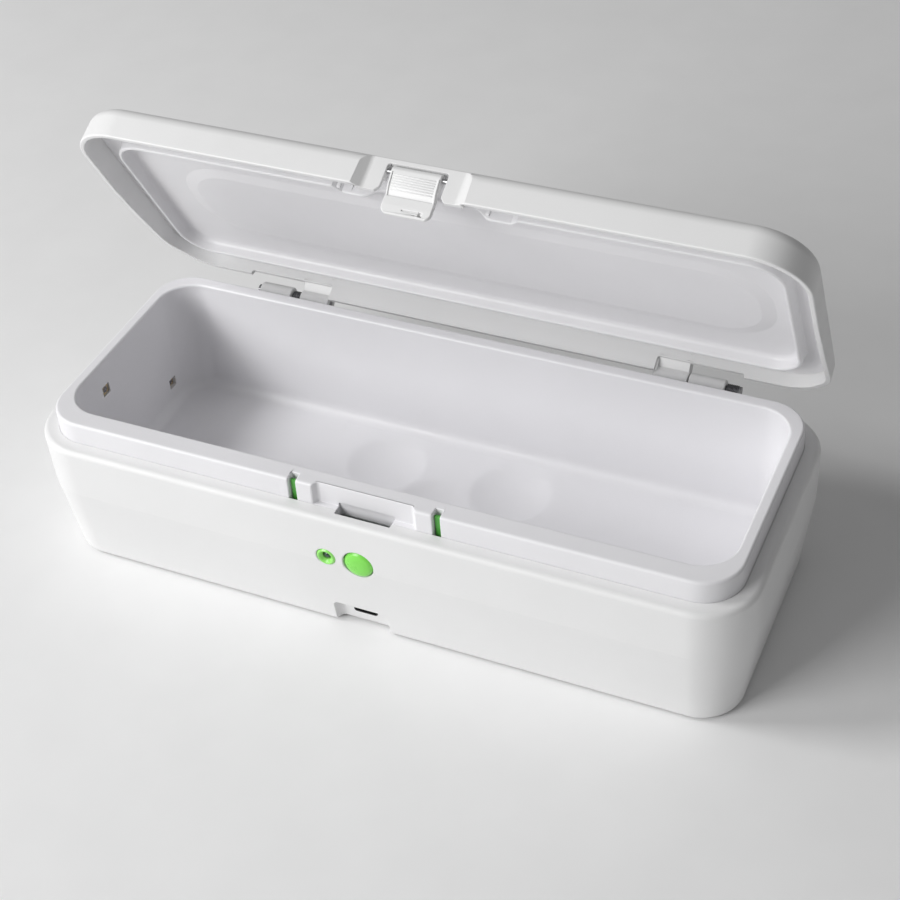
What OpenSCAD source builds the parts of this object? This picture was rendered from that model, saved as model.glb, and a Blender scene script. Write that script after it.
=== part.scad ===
// Sanitizing box for a phone: a long tray-like case with a light-emitting tub,
// a sprung hinged lid and a push latch. Millimetres, Z up, front towards -Y.
// The origin is under the middle of the case, on the plane its feet stand on.

/* [Case] */
// Length of the case at its shoulder
body_l = 240; // [200:1:280]
// Depth of the case at its shoulder
body_d = 95; // [92:1:102]
// Plan radius of the case corners
corner_r = 18; // [15:0.5:24]
// Height of the shoulder that the lid closes on
shoulder_z = 48.6; // [48:0.2:50]
// Height of the rim above the feet
rim_z = 56.2; // [55.6:0.2:56.6]
// Height of the kink in the side wall
kink_z = 30; // [27:0.5:31]
// How far the wall draws in from the kink to the bottom
base_draw = 3.4; // [3:0.1:7]
// Wall thickness of the case
wall = 2; // [1.6:0.1:2.4]

/* [Tub] */
// Height of the tub floor
floor_z = 12.9; // [12.6:0.1:14]
// Distance from the case's end to the inside of the rim
tub_in_side = 9.2; // [9:0.1:10]
// Distance from the case's front to the inside of the rim
tub_in_front = 12.2; // [12:0.1:13]
// Distance from the case's back to the inside of the rim
tub_in_back = 10; // [9.6:0.1:11]
// Radius of the dimples in the floor
dimple_r = 12.4; // [8:0.1:14]
// Depth of the dimples in the floor
dimple_depth = 1.5; // [0.4:0.1:1.6]

/* [Lid] */
// Opening angle of the lid as stored
open_angle = 62; // [0:1:63]
// Height of the closed lid's top
lid_top_z = 61.2; // [60.8:0.1:62]
// Gap between the shoulder and the closed lid's skirt
lid_gap = 0.5; // [0.3:0.1:0.8]
// Wall thickness of the lid
lid_wall = 1.7; // [1.4:0.1:2]

/* [Controls] */
// Diameter of the power button
button_d = 9.6; // [7:0.1:10]
// Outer diameter of the indicator ring
ring_d = 6.4; // [5:0.1:7]
// Distance from the button to the indicator ring
ring_dx = 11; // [9.5:0.1:14]
// Distance of the button from the middle of the front
button_x = -1.5; // [-3:0.5:0]
// Height of both
control_z = 32; // [31:0.1:33]
// Distance of the charging port from the middle of the front
port_x = -4.5; // [-7:0.5:-3]
// Width of the latch plate
latch_w = 16; // [12:0.5:17]
// Distance of the rim slots from the middle
slot_x = 24; // [23.5:0.1:25]

/* [Hidden] */
$fn = 64;
base_z = 0.8;
hx = body_l / 2;
hy = body_d / 2;
kink_in = 1.0;
base_in = kink_in + base_draw;
ring_x = button_x - ring_dx;
// hinge line
ax_y = hy + 2.8;
ax_z = shoulder_z + 0.7;
knuckle_r = 3;
pin_r = 1;
run = 0.05;
// rim outside, tub inside
rim_in = 5.2;
tub_l = body_l - 2 * tub_in_side;
tub_d = body_d - tub_in_front - tub_in_back;
tub_cy = (tub_in_front - tub_in_back) / 2;
tub_r = 11.6;
tub_t = 2;
dimple_s = (dimple_r * dimple_r + dimple_depth * dimple_depth) / (2 * dimple_depth);   // dimple sphere
front_in = -hy + tub_in_front;                 // inner face of the front rim
front_out = front_in - tub_t;                  // outer face of the tub's front wall
skirt_z = shoulder_z + lid_gap;
lid_l = body_l - 2.4;                          // the lid stops short of the case at its ends
back_up = 3.6;                                 // how much the skirt rises towards the back corners
// screws in the base
screw_xy = [[-98, -26], [98, -26], [-98, 26], [98, 26], [-36, 28], [36, 28]];
foot_xy = [[-78, -27], [78, -27], [-78, 27], [78, 27], [0, 0]];
// light sources in the end walls: [y, z]
led_yz = [[-12.5, 45.3], [22.8, 21.6]];
led_s = 3.5;
board_x = hx - tub_in_side + tub_t;            // outer face of the tub's end wall
// latch pivot, measured on the closed lid
lp_y = -hy + 3.6;
lp_z = lid_top_z - 4.5;
// front parts
board_y = front_out - 0.1;                     // back of the main board
board_t = 1.2;
brd_f = board_y - board_t;                     // front of the main board
wall_in_y = -hy + kink_in + wall - 0.7;        // seat of the controls inside the case wall
port_z = 5.4;
port_y = -hy + 6.4;                              // back of the port recess
arm_y = front_out - 2.9;                       // back of a slider's arm
arm_z = shoulder_z - 9.3;

function outer_pts() = [[base_in + 0.8, base_z], [base_in, base_z + 0.8], [kink_in, kink_z],
  [0.05, shoulder_z - 1.3], [1.3, shoulder_z]];

// ---- shape helpers ----

// solid on a rounded rectangle; pts = [[inset, z], ...] up its outside
module drr(l, d, r, pts) {
  n = len(pts);
  z0 = pts[0][1];
  z1 = pts[n - 1][1];
  for (q = [0:3]) {
    sx = (q == 0 || q == 3) ? 1 : -1;
    sy = (q == 0 || q == 1) ? 1 : -1;
    translate([sx * (l / 2 - r), sy * (d / 2 - r), 0]) rotate([0, 0, 90 * q])
      rotate_extrude(angle = 90)
        polygon(concat([for (p = pts) [r - p[0], p[1]]], [[0, z1], [0, z0]]));
  }
  translate([-(l / 2 - r), 0, 0]) rotate([90, 0, 90]) linear_extrude(l - 2 * r)
    polygon(concat([for (p = pts) [d / 2 - p[0], p[1]]], [for (i = [n - 1:-1:0]) [-(d / 2 - pts[i][0]), pts[i][1]]]));
  translate([0, d / 2 - r, 0]) rotate([90, 0, 0]) linear_extrude(d - 2 * r)
    polygon(concat([for (p = pts) [l / 2 - p[0], p[1]]], [for (i = [n - 1:-1:0]) [-(l / 2 - pts[i][0]), pts[i][1]]]));
}
// box from corner to corner
module bx(a, b) { translate(a) cube([b[0] - a[0], b[1] - a[1], b[2] - a[2]]); }
// cylinder along X, from x0 to x1, centred on y, z
module cx(x0, x1, y, z, r) { translate([x0, y, z]) rotate([0, 90, 0]) cylinder(r = r, h = x1 - x0); }
// cylinder along Y, from y0 to y1, centred on x, z
module cy(y0, y1, x, z, r, r2 = -1) { translate([x, y0, z]) rotate([-90, 0, 0]) cylinder(r1 = r, r2 = r2 < 0 ? r : r2, h = y1 - y0); }
// a profile in Y, Z extruded along X
module px(x0, x1, pts) { translate([x0, 0, 0]) rotate([90, 0, 90]) linear_extrude(x1 - x0) polygon(pts); }
// turns the lid's parts from closed to open
module open_lid() { translate([0, ax_y, ax_z]) rotate([-open_angle, 0, 0]) translate([0, -ax_y, -ax_z]) children(); }
module both() { children(); mirror([1, 0, 0]) children(); }
// round wire through a list of points
module wire(pts, r) {
  for (i = [0:len(pts) - 2]) {
    v = pts[i + 1] - pts[i];
    translate(pts[i]) rotate([0, acos(v[2] / norm(v)), atan2(v[1], v[0])]) cylinder(r = r, h = norm(v), $fn = 16);
    if (i > 0) translate(pts[i]) sphere(r = r * 1.15, $fn = 16);
  }
}
// coil of touching turns along X
module coil_x(x0, turns, y, z, r, w) {
  for (i = [0:turns - 1]) translate([x0 + w + i * 1.9 * w, y, z]) rotate([0, 90, 0])
    rotate_extrude() translate([r, 0]) circle(r = w, $fn = 16);
}
module coil_y(y0, turns, x, z, r, w) {
  for (i = [0:turns - 1]) translate([x, y0 + w + i * 1.9 * w, z]) rotate([90, 0, 0])
    rotate_extrude() translate([r, 0]) circle(r = w, $fn = 16);
}

// ---- base ----

module base_knuckle() {
  cx(72, 84, ax_y, ax_z, knuckle_r);
  px(72, 84, [[hy - 1.6, shoulder_z - 9.5], [hy - 0.2, shoulder_z - 9.5], [ax_y + 2.3, ax_z - 1.8], [ax_y, ax_z], [hy - 0.2, shoulder_z - 0.1], [hy - 1.6, shoulder_z - 0.1]]);
}
module outer_case() {
  color("whitesmoke") difference() {
    union() {
      difference() {
        drr(body_l, body_d, corner_r, outer_pts());
        // room inside, with a ledge for the bottom cover
        drr(body_l, body_d, corner_r, [[base_in + wall + 0.3, base_z + 3.7], [kink_in + wall, kink_z], [wall + 0.1, shoulder_z - wall]]);
        drr(body_l - 25.2, body_d - 25.2, corner_r - 10, [[0, base_z + 2], [0, base_z + 4]]);
        drr(body_l - 21.2, body_d - 21.2, corner_r - 9, [[0, 0], [0, base_z + 2.1]]);
      }
      // thick wall round the port
      intersection() {
        drr(body_l, body_d, corner_r, outer_pts());
        bx([port_x - 11.2, -hy, base_z], [port_x + 11.2, -hy + 10.4, port_z + 6]);
      }
      base_knuckle();
      mirror([1, 0, 0]) base_knuckle();
    }
    // opening that the rim stands in
    drr(body_l - 10.2, body_d - 10.2, corner_r - 5.1, [[0, shoulder_z - wall - 1], [0, shoulder_z + 1]]);
    // room for the latch hook
    bx([-9.2, -hy + 3.7, shoulder_z - wall - 1], [9.2, -hy + 8, shoulder_z + 1]);
    // button and indicator holes, each with a seat inside
    cy(-hy - 1, -hy + 6, button_x, control_z, button_d / 2 + 0.3);
    cy(wall_in_y, -hy + 6, button_x, control_z, 6.3);
    cy(-hy - 1, -hy + 6, ring_x, control_z, ring_d / 2 + 0.05);
    cy(wall_in_y, -hy + 6, ring_x, control_z, 4.2);
    // recess for the plug, open at the bottom
    px(port_x - 9.2, port_x + 9.2, [[-hy - 2, -1], [port_y + 0.9, -1], [port_y, port_z + 3.8], [-hy - 2, port_z + 3.8]]);
    // slit for the socket, and room for its board
    bx([port_x - 4.1, -hy, port_z - 1.55], [port_x + 4.1, -hy + 11, port_z + 1.55]);
    bx([port_x - 8, -hy + 10.3, base_z + 1.9], [port_x + 8, -hy + 14, port_z + 5]);
    // hinge bores and room for the lid's knuckles
    both() cx(70, 86, ax_y, ax_z, pin_r + run);
    cx(-69, -56.8, ax_y, ax_z, knuckle_r + 0.4);
    cx(60.2, 72, ax_y, ax_z, knuckle_r + 0.4);
  }
}
module tub() {
  color("white") difference() {
    union() {
      // rim
      drr(body_l - 2 * rim_in, body_d - 2 * rim_in, corner_r - rim_in, [[0, shoulder_z - wall - 0.1], [0.1, rim_z - 1.2], [1.3, rim_z]]);
      // flange under the shoulder
      drr(body_l - 4.8, body_d - 4.8, corner_r - 2.4, [[0, shoulder_z - 4.1], [0, shoulder_z - wall - 0.1]]);
      // tub wall and floor
      translate([0, tub_cy, 0]) drr(tub_l + 2 * tub_t, tub_d + 2 * tub_t, tub_r + tub_t, [[3.2, floor_z - 2.4], [1.0, floor_z + 0.1], [0, shoulder_z - 4]]);
      // screw bosses
      for (p = screw_xy) translate([p[0], p[1], base_z + 3.3]) cylinder(d = 7, h = floor_z - base_z - 5);
    }
    translate([0, tub_cy, 0]) drr(tub_l, tub_d, tub_r, [[3.4, floor_z], [0.9, floor_z + 2.8], [0, rim_z - 0.9], [-0.9, rim_z + 0.1]]);
    // dimples and a moulding mark in the floor
    for (p = [[-24, 17.8], [21.4, 17.8], [-1.3, 2.8]])
      translate([p[0], p[1], floor_z]) intersection() {
        translate([0, 0, dimple_s - dimple_depth]) sphere(r = dimple_s, $fn = 128);
        translate([0, 0, -2]) cylinder(r = dimple_r + 2, h = 2.6);
      }
    translate([-45.2, 29.6, floor_z - 0.25]) difference() { cylinder(d = 3.2, h = 1); translate([0, 0, -1]) cylinder(d = 2.2, h = 3); }
    // recess in the rim for the latch, and the well for its hook
    translate([0, 0, shoulder_z - 0.1]) linear_extrude(20)
      polygon([[-17.2, -hy - 1], [-17.2, -hy + rim_in], [-15.4, -hy + 7.2], [15.4, -hy + 7.2], [17.2, -hy + rim_in], [17.2, -hy - 1]]);
    px(-9.2, 9.2, [[-hy - 1, shoulder_z - 8], [-hy + 7.8, shoulder_z - 8], [-hy + 7.8, shoulder_z - 2], [-hy + 7.1, shoulder_z + 1], [-hy - 1, shoulder_z + 1]]);
    // slots for the lid's fins
    both() bx([slot_x - 1.3, -hy - 1, shoulder_z - 4.5], [slot_x + 1.3, -hy + 8.8, rim_z + 2]);
    // openings for the light sources and slots for their boards
    both() for (p = led_yz) bx([hx - 20, p[0] - led_s / 2 - 0.2, p[1] - led_s / 2 - 0.2], [board_x + 0.7, p[0] + led_s / 2 + 0.2, p[1] + led_s / 2 + 0.2]);
    both() bx([board_x, -20.4, 18.8], [board_x + 1.4, 26, rim_z - 3.8]);
    // screw pilots
    for (p = screw_xy) translate([p[0], p[1], base_z]) cylinder(r = 1.3 + run, h = floor_z - base_z - 3);
    for (x = [-17, 17]) cy(front_out - 1, front_in - 0.5, x, 36.5, 1 + run);
  }
}
module bottom_cover() {
  color("gainsboro") difference() {
    union() {
      drr(body_l - 21.8, body_d - 21.8, corner_r - 9.4, [[0, base_z], [0, base_z + 1.9]]);
      for (p = screw_xy) translate([p[0], p[1], base_z]) cylinder(d = 9, h = 3.2);
      // pad under the port board
      bx([port_x - 7, -hy + 14.6, base_z + 1], [port_x + 7, -hy + 18, port_z - 2.5]);
      // ribs that stiffen the plate
      for (y = [-12, 0]) bx([-88, y - 0.8, base_z + 1], [88, y + 0.8, base_z + 4.2]);
    }
    for (p = screw_xy) translate([p[0], p[1], 0]) {
      cylinder(d = 3, h = 8);
      cylinder(d = 5.8, h = base_z + 1.7);
    }
    for (p = foot_xy) translate([p[0], p[1], 0]) cylinder(d = 10.4, h = base_z + 0.4);
    for (x = [-5.4, 5.4]) translate([port_x + x, -hy + 16.4, base_z + 0.6]) cylinder(r = 0.8 + run, h = 4);
  }
}
module feet() {
  color("dimgray") for (p = foot_xy) translate([p[0], p[1], 0]) {
    cylinder(r1 = 4.7, r2 = 5.1, h = 0.5);
    translate([0, 0, 0.5]) cylinder(r = 5.1, h = base_z + 0.4 - 0.5);
  }
}
module case_screws() {
  color("silver") for (p = screw_xy) translate([p[0], p[1], 0]) difference() {
    union() {
      translate([0, 0, base_z + 0.25]) cylinder(d = 5.2, h = 1.4);
      translate([0, 0, base_z + 1.5]) cylinder(r = 1.3, h = 6.6);
    }
    for (a = [0, 90]) rotate([0, 0, a]) bx([-1.5, -0.3, 0], [1.5, 0.3, base_z + 1]);
  }
}

// ---- electronics ----

module main_board() {
  color("seagreen") difference() {
    bx([-32, brd_f, 19], [32, board_y, arm_z + 2]);
    for (x = [-17, 17]) cy(brd_f - 1, board_y + 1, x, 36.5, 1.2);
    both() cy(brd_f - 1, board_y + 1, slot_x + 1.2, arm_z, 1.65);
  }
}
module push_switch() {
  color("black") {
    bx([button_x - 3, brd_f - 1.5, control_z - 3], [button_x + 3, brd_f, control_z + 3]);
    cy(brd_f - 2.1, brd_f - 1.4, button_x, control_z, 1.6);
  }
}
module control_chip() { color("#222") { bx([6, brd_f - 1, 23], [12, brd_f, 29]); bx([-17, brd_f - 1.2, 21], [-13, brd_f, 25]); } }
module status_lens() {
  color("#0b3d1e") {
    cy(-hy + 1.7, brd_f, ring_x, control_z, 1.25);
    cy(-hy + 1.2, -hy + 1.71, ring_x, control_z, 0.9, 1.25);
    cy(-hy + 0.95, -hy + 1.21, ring_x, control_z, 0.4, 0.9);
  }
}
module board_screws() {
  color("silver") for (x = [-17, 17]) {
    cy(brd_f - 1.3, brd_f, x, 36.5, 1.8);
    cy(brd_f - 0.1, board_y + 1.4, x, 36.5, 1);
  }
  color("silver") for (x = [-5.4, 5.4]) translate([port_x + x, -hy + 16.4, 0]) {
    translate([0, 0, port_z - 1.5]) cylinder(r = 1.4, h = 0.9);
    translate([0, 0, base_z + 0.8]) cylinder(r = 0.8, h = port_z - 2.2);
  }
}
module port_board() {
  color("seagreen") difference() {
    bx([port_x - 7.4, -hy + 11, port_z - 2.5], [port_x + 7.4, -hy + 18.4, port_z - 1.5]);
    for (x = [-5.4, 5.4]) translate([port_x + x, -hy + 16.4, 0]) cylinder(r = 1, h = port_z);
  }
}
module charging_socket() {
  y0 = -hy + 8.9;
  color("silver") difference() {
    bx([port_x - 3.9, y0, port_z - 1.5], [port_x + 3.9, y0 + 5.6, port_z + 1.4]);
    bx([port_x - 3.5, y0 - 1, port_z - 1.1], [port_x + 3.5, y0 + 4.8, port_z + 1.0]);
  }
  color("black") bx([port_x - 2.9, y0 + 0.6, port_z + 0.05], [port_x + 2.9, y0 + 5.2, port_z + 0.65]);
}
module led_board() { bx([board_x + 0.1, -20, 19.4], [board_x + 1.1, 25.6, rim_z - 4]); }
module led_board_left() { color("lightgray") mirror([1, 0, 0]) led_board(); }
module led_board_right() { color("lightgray") led_board(); }
module leds() {
  for (p = led_yz) {
    bx([board_x - 1.7, p[0] - led_s / 2, p[1] - led_s / 2], [board_x + 0.1, p[0] + led_s / 2, p[1] + led_s / 2]);
    translate([board_x - 1.85, p[0], p[1]]) rotate([0, 90, 0]) cylinder(r = 1.3, h = 0.3);
  }
}
module uv_leds_left() { color("goldenrod") mirror([1, 0, 0]) leds(); }
module uv_leds_right() { color("goldenrod") leds(); }
module lid_switches() {
  color("black") both() {
    bx([slot_x + 3.3, brd_f - 0.65, arm_z - 2.2], [slot_x + 6.5, brd_f, arm_z + 1.6]);
    cy(brd_f - 0.8, brd_f - 0.6, slot_x + 4.9, arm_z - 0.3, 0.7);
  }
}
module interlock_springs() { color("silver") both() coil_y(front_out - 2.15, 5, slot_x + 1.2, arm_z, 1.15, 0.22); }
module wires() {
  wire([[board_x + 0.5, 8, 19.25], [board_x + 0.35, 8, 16.2], [board_x - 0.75, 8, floor_z - 0.4], [board_x - 5, 8, 7.3], [24, 8, 7.3],
    [20.5, front_in + 2.9, 6.9], [20.5, front_out - 0.5, floor_z - 0.6], [20.5, brd_f - 0.65, 18], [20.5, brd_f - 0.6, 24]], 0.5);
}
module wires_left() {
  color("firebrick") mirror([1, 0, 0]) wires();
  // lead from the port board to the main board
  color("firebrick") wire([[port_x + 5.4, -hy + 13, port_z - 1], [port_x + 5.4, -hy + 11.9, 8.2], [port_x + 5.4, -hy + 11.1, 10.8], [port_x + 5.4, -hy + 10.5, 12.6], [port_x + 5.4, brd_f - 0.65, 17.6], [port_x + 5.4, brd_f - 0.6, 20.5]], 0.5);
}
module wires_right() { color("firebrick") wires(); }
module indicator_ring() {
  color("#9cf07a") difference() {
    union() {
      cy(-hy + 0.55, -hy + 4.2, ring_x, control_z, ring_d / 2);
      cy(-hy + 0.15, -hy + 0.56, ring_x, control_z, ring_d / 2 - 0.5, ring_d / 2);
      cy(wall_in_y + 0.1, wall_in_y + 0.9, ring_x, control_z, 4);
    }
    cy(-hy - 1, -hy + 6, ring_x, control_z, 1.4);
    cy(-hy - 0.2, -hy + 1.3, ring_x, control_z, 2.1, 1.4);
  }
}

// ---- hinges ----

module hinge_pin_left() { color("gray") { cx(-84.4, -57.6, ax_y, ax_z, pin_r); cx(-85.2, -84.4, ax_y, ax_z, 1.8); } }
module hinge_pin_right() { color("gray") { cx(61, 88.2, ax_y, ax_z, pin_r); cx(88.2, 89, ax_y, ax_z, 1.8); } }
module hinge_spring_left() {
  color("darkgray") {
    coil_x(-71.8, 6, ax_y, ax_z, 1.75, 0.27);
    wire([[-71.5, ax_y - 1.2, ax_z - 1.3], [-71.5, hy + 0.3, ax_z - 4.6]], 0.25);
  }
}
module hinge_spring_right() {
  color("darkgray") {
    coil_x(84.3, 7, ax_y, ax_z, 1.75, 0.27);
    wire([[84.6, ax_y - 1.2, ax_z - 1.3], [84.6, hy + 0.3, ax_z - 4.6]], 0.25);
  }
}

// ---- moving controls in the base ----

module power_button() {
  r = button_d / 2;
  color("#8fe86f") {
    cy(-hy + 0.5, wall_in_y + 0.4, button_x, control_z, r);
    // low dome: two cone bands
    cy(-hy + 0.1, -hy + 0.51, button_x, control_z, r - 0.7, r);
    cy(-hy - 0.25, -hy + 0.11, button_x, control_z, r - 2.2, r - 0.7);
    cy(wall_in_y + 0.3, wall_in_y + 1.1, button_x, control_z, 6);
    cy(wall_in_y + 1.0, brd_f - 2.8, button_x, control_z, 1.5);
  }
}
module interlock() {
  y1 = -hy + 7.6;
  bx([slot_x - 1, y1 - 0.8, shoulder_z - 5.9], [slot_x + 1, y1, rim_z - 1.4]);
  bx([slot_x - 1, arm_y - 1.2, shoulder_z - 5.9], [slot_x + 6.6, y1, shoulder_z - 4.6]);
  bx([slot_x - 1, arm_y - 1.2, shoulder_z - 11.9], [slot_x + 6.6, arm_y, shoulder_z - 4.6]);
}
module interlock_left() { color("#3f8f3a") mirror([1, 0, 0]) interlock(); }
module interlock_right() { color("#3f8f3a") interlock(); }

// ---- lid ----

// notch in the back skirt over one hinge
module hinge_notch(x0, x1) { bx([x0, hy - 3.4, skirt_z - 1], [x1, hy + 1, skirt_z + 4.9]); }
module lid_knuckle(x0, x1) {
  cx(x0, x1, ax_y, ax_z, knuckle_r);
  px(x0, x1, [[hy - 1.2, lid_top_z - 6.7], [hy - 1.2, lid_top_z - 4.6], [hy + 0.6, lid_top_z - 4.6], [ax_y + 2.9, ax_z + 0.9], [ax_y, ax_z], [hy + 0.9, ax_z + 1.8]]);
}
module lid_outer() { drr(lid_l, body_d, corner_r, [[0, skirt_z], [0.25, lid_top_z - 3.9], [1.2, lid_top_z - 1.7], [2.6, lid_top_z - 0.7], [4.6, lid_top_z - 0.2], [8, lid_top_z]]); }
// plan of the step in the front edge
module step_plan(o) {
  polygon([[-19, -hy - 2], [-17.8, -hy - 0.1], [-15.9, -hy + 0.7 + o], [-13.6, -hy + 2.2 + o], [13.6, -hy + 2.2 + o], [15.9, -hy + 0.7 + o], [17.8, -hy - 0.1], [19, -hy - 2]]);
}
module lid_shell_closed() {
  difference() {
    union() {
      difference() {
        lid_outer();
        drr(lid_l, body_d, corner_r, [[lid_wall, skirt_z - 1], [lid_wall + 0.2, lid_top_z - 3.8], [3.2, lid_top_z - 2.6], [8.6, lid_top_z - 2]]);
      }
      // wall behind the step and the latch's side cheeks
      intersection() {
        lid_outer();
        union() {
          bx([-16.4, -hy, skirt_z], [16.4, -hy + 3.7, lid_top_z - 1]);
          both() bx([latch_w / 2 + 1.8, -hy, lid_top_z - 7.2], [latch_w / 2 + 4.4, -hy + 5.6, lid_top_z - 1]);
        }
      }
      lid_knuckle(-68.4, -57.4);
      lid_knuckle(60.8, 71.6);
    }
    translate([0, 0, skirt_z - 2]) linear_extrude(20) step_plan(0);
    // opening for the latch
    bx([-latch_w / 2 - 1.8, -hy - 1, skirt_z - 1], [latch_w / 2 + 1.8, -hy + 6.4, lp_z + 2]);
    cx(-latch_w / 2 - 4.2, latch_w / 2 + 4.2, lp_y, lp_z, 0.8 + run);
    difference() {
      union() {
        hinge_notch(-88.4, -57.2);
        hinge_notch(60.6, 89.4);
        // the skirt rises towards the back corners
        for (x = [[-hx, -88], [89, hx]]) px(x[0], x[1], [[hy - 55.3, skirt_z - 1], [hy - 8, skirt_z + back_up], [hy + 1, skirt_z + back_up], [hy + 1, skirt_z - 1]]);
      }
      lid_knuckle(-68.4, -57.4);
      lid_knuckle(60.8, 71.6);
    }
    cx(-69, -57, ax_y, ax_z, pin_r + run);
    cx(60.4, 72, ax_y, ax_z, pin_r + run);
  }
}
module lid_shell() { color("white") open_lid() lid_shell_closed(); }

ring_l = body_l - 2 * tub_in_side - 1.2;

ring_cy = tub_cy - 0.3;
ring_d2 = body_d - tub_in_front - tub_in_back - 1.8;
ring_z = lid_top_z - 8.2;
ceil_z = lid_top_z - 3.9;
ring_t = 1.9;
module lid_liner_closed() {
  rf = ring_cy - ring_d2 / 2;                  // outer face of the ring's front wall
  difference() {
    union() {
      // ceiling plate
      difference() {
        drr(lid_l - 4.2, body_d - 4.2, corner_r - 2.1, [[0, ceil_z], [0.3, ceil_z + 0.4], [1.6, ceil_z + 1.1]]);
        bx([-17, -hy, ring_z], [17, -hy + 6.6, lid_top_z]);
      }
      // ribs that are bonded to the lid's top
      for (x = [-84, -36, 36, 84]) bx([x - 0.6, -30, ceil_z + 0.9], [x + 0.6, 30, lid_top_z - 2.05]);
      // raised panel
      translate([0, ring_cy, 0]) drr(184, ring_d2 - 28, 18, [[3.4, ceil_z - 1], [0, ceil_z + 0.1]]);
      // ring wall, stepped back behind the latch
      difference() {
        translate([0, ring_cy, 0]) drr(ring_l, ring_d2, 11, [[0.4, ring_z], [0, ceil_z + 0.1]]);
        translate([0, ring_cy, 0]) drr(ring_l - 2 * ring_t, ring_d2 - 2 * ring_t, 11 - ring_t, [[0, ring_z - 1], [0.1, ceil_z + 0.2]]);
        bx([-29, rf - 1, ring_z - 1], [29, rf + 3.4, ceil_z + 0.2]);
      }
      bx([-29.5, rf + 2.6, ring_z], [29.5, rf + 4.4, ceil_z + 0.1]);
      both() bx([27.8, rf + 0.1, ring_z], [29.6, rf + 4.3, ceil_z + 0.1]);
      // fins
      both() bx([slot_x - 0.65, -hy + 5.4, skirt_z + 0.4], [slot_x + 0.65, -hy + 6.4, ceil_z + 0.1]);
    }
  }
}

module lid_liner() { color("#f4f4f6") open_lid() lid_liner_closed(); }
module latch_pin() { color("gray") open_lid() cx(-latch_w / 2 - 4.1, latch_w / 2 + 4.1, lp_y, lp_z, 0.8); }
module latch_spring() { color("darkgray") open_lid() coil_x(-2.3, 12, lp_y, lp_z, 1.1, 0.2); }
module latch_closed() {
  w = latch_w / 2;
  z0 = shoulder_z;
  difference() {
    union() {
      cx(-w, w, lp_y, lp_z, 1.6);
      px(-w, w, [[lp_y - 1.6, lp_z], [-hy + 1.95, lid_top_z - 5.4], [-hy + 2.7, z0 + 3.4], [-hy + 4.0, z0 + 0.4], [-hy + 4.05, z0 - 2.2], [-hy + 3.0, z0 - 2.35], [-hy + 3.0, z0 - 3.1], [-hy + 4.4, z0 - 5.1], [-hy + 5.6, z0 - 5.1], [-hy + 5.7, z0 + 0.1], [-hy + 5.0, z0 + 4], [lp_y + 1.6, lp_z]]);
      // raised grip ribs
      for (i = [0:5]) px(-w + 1.6, w - 1.6, [for (q = [[-0.3, 0], [0, -0.25], [0.3, -0.25], [0.3, 0.25], [0, 0.25]]) [-hy + 2.05 + i * 0.15 + q[0], lid_top_z - 5.9 - i * 0.75 + q[1]]]);
    }
    cx(-w - 1, w + 1, lp_y, lp_z, 0.8 + run);
    bx([-2.7, lp_y - 0.6, lp_z - 2.2], [2.7, lp_y + 3, lp_z + 3]);
    cx(-2.7, 2.7, lp_y, lp_z, 1.45);
  }
}
module latch() { color("#f2f2f2") open_lid() latch_closed(); }

outer_case();
tub();
bottom_cover();
feet();
case_screws();
main_board();
push_switch();
control_chip();
status_lens();
board_screws();
port_board();
charging_socket();
led_board_left();
led_board_right();
uv_leds_left();
uv_leds_right();
lid_switches();
interlock_springs();
wires_left();
wires_right();
indicator_ring();
hinge_pin_left();
hinge_pin_right();
hinge_spring_left();
hinge_spring_right();
power_button();
interlock_left();
interlock_right();
lid_shell();
lid_liner();
latch_pin();
latch_spring();
latch();
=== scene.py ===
import bpy
import bmesh
import math
from mathutils import Matrix, Vector


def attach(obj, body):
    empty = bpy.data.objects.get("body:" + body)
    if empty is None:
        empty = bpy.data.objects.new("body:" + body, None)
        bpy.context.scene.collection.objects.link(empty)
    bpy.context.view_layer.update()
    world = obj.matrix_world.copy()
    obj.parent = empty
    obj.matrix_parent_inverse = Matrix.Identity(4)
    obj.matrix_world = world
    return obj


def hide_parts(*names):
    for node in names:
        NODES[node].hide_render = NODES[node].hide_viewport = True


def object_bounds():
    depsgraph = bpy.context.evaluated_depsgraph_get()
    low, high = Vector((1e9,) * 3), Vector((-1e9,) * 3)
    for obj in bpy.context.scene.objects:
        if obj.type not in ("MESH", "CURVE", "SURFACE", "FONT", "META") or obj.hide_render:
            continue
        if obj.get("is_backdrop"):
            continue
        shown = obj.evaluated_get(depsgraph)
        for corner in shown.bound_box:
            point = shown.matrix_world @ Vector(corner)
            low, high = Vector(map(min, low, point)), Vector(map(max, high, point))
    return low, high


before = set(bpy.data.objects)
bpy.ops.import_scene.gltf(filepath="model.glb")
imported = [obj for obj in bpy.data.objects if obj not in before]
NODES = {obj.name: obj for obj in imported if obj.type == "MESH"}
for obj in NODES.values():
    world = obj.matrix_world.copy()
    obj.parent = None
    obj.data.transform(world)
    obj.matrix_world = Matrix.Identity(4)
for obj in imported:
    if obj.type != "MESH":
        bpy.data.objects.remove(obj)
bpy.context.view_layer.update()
scene = bpy.context.scene
MM = 0.001

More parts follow.
